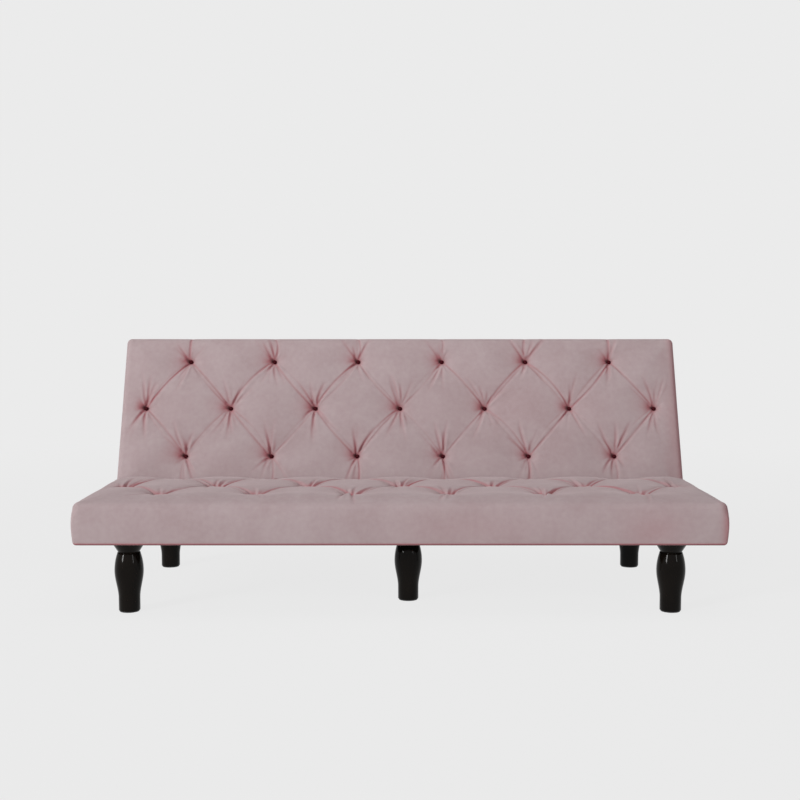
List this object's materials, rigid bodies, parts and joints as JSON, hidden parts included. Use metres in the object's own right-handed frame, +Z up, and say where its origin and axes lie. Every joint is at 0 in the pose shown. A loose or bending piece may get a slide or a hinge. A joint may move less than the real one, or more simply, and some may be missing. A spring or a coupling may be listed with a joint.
{
  "type": "sofa bed",
  "caption": "Armless velvet sofa bed with diamond-tufted seat and back pads on turned black legs; its back reclines on notched hinges to lie flat as a bed.",
  "frame": {"origin": "on the floor, under the middle of the width and of the depth over all", "axes": "+X along the sofa's width, to the right as seen from the front; -Y the way the seat faces; +Z up"},
  "size_m": [1.8, 0.7907, 0.7462],
  "materials": {
    "velvet": "dusty pink velvet pile",
    "black_lacquer": "gloss lacquer",
    "foam": "open-cell foam",
    "plywood": "raw plywood",
    "twine": "waxed twine",
    "dust_cloth": "non-woven cloth",
    "black_plastic": "moulded",
    "black_rubber": "moulded",
    "black_steel": "black powder coat",
    "zinc_steel": "zinc plated"
  },
  "bodies": {
    "base": {"base_rail_left": "black_steel", "base_rail_right": "black_steel", "foot_glides": "black_plastic", "hinge_nuts": "zinc_steel", "hinge_pin_left": "zinc_steel", "hinge_pin_right": "zinc_steel", "hinge_plate_left": "zinc_steel", "hinge_plate_right": "zinc_steel", "hinge_washers": "zinc_steel", "leg_centre": "black_lacquer", "leg_front_left": "black_lacquer", "leg_front_right": "black_lacquer", "leg_nuts": "zinc_steel", "leg_plates": "black_steel", "leg_rear_left": "black_lacquer", "leg_rear_right": "black_lacquer", "leg_studs": "zinc_steel", "pawl_pins": "zinc_steel", "pawl_spring_left": "zinc_steel", "pawl_spring_right": "zinc_steel", "rail_bumpers": "black_rubber", "rail_end_caps": "black_plastic", "rear_cross_tube": "black_steel", "seat_buttons": "velvet", "seat_centre_tube": "black_steel", "seat_cover": "velvet", "seat_deck": "plywood", "seat_deck_screws": "zinc_steel", "seat_dust_cover": "dust_cloth", "seat_end_tube_left": "black_steel", "seat_end_tube_right": "black_steel", "seat_foam": "foam", "seat_front_tube": "black_steel", "seat_rear_tubes": "black_steel", "seat_ties": "twine"},
    "back": {"arm_bolts": "zinc_steel", "arm_nuts": "zinc_steel", "back_arm_left": "zinc_steel", "back_arm_right": "zinc_steel", "back_bottom_tube": "black_steel", "back_buttons": "velvet", "back_centre_tube": "black_steel", "back_cover": "velvet", "back_deck": "plywood", "back_deck_screws": "zinc_steel", "back_end_tube_left": "black_steel", "back_end_tube_right": "black_steel", "back_foam": "foam", "back_rear_panel": "velvet", "back_side_tube_left": "black_steel", "back_side_tube_right": "black_steel", "back_ties": "twine", "back_top_tube": "black_steel"},
    "pawl_left": {"pawl_left": "zinc_steel"},
    "pawl_right": {"pawl_right": "zinc_steel"}
  },
  "joints": [
    {"name": "back_recline", "type": "hinge", "parent": "base", "child": "back", "pos_m": [0, 0.16497, 0.2759], "axis": [-1, 0, 0], "range_deg": [-10, 67.5]},
    {"name": "pawl_left_turn", "type": "hinge", "parent": "base", "child": "pawl_left", "pos_m": [-0.758, 0.20097, 0.2399], "axis": [-1, 0, 0], "range_deg": [0, 8.5]},
    {"name": "pawl_right_turn", "type": "hinge", "parent": "base", "child": "pawl_right", "pos_m": [0.758, 0.20097, 0.2399], "axis": [-1, 0, 0], "range_deg": [0, 8.5]}
  ]
}
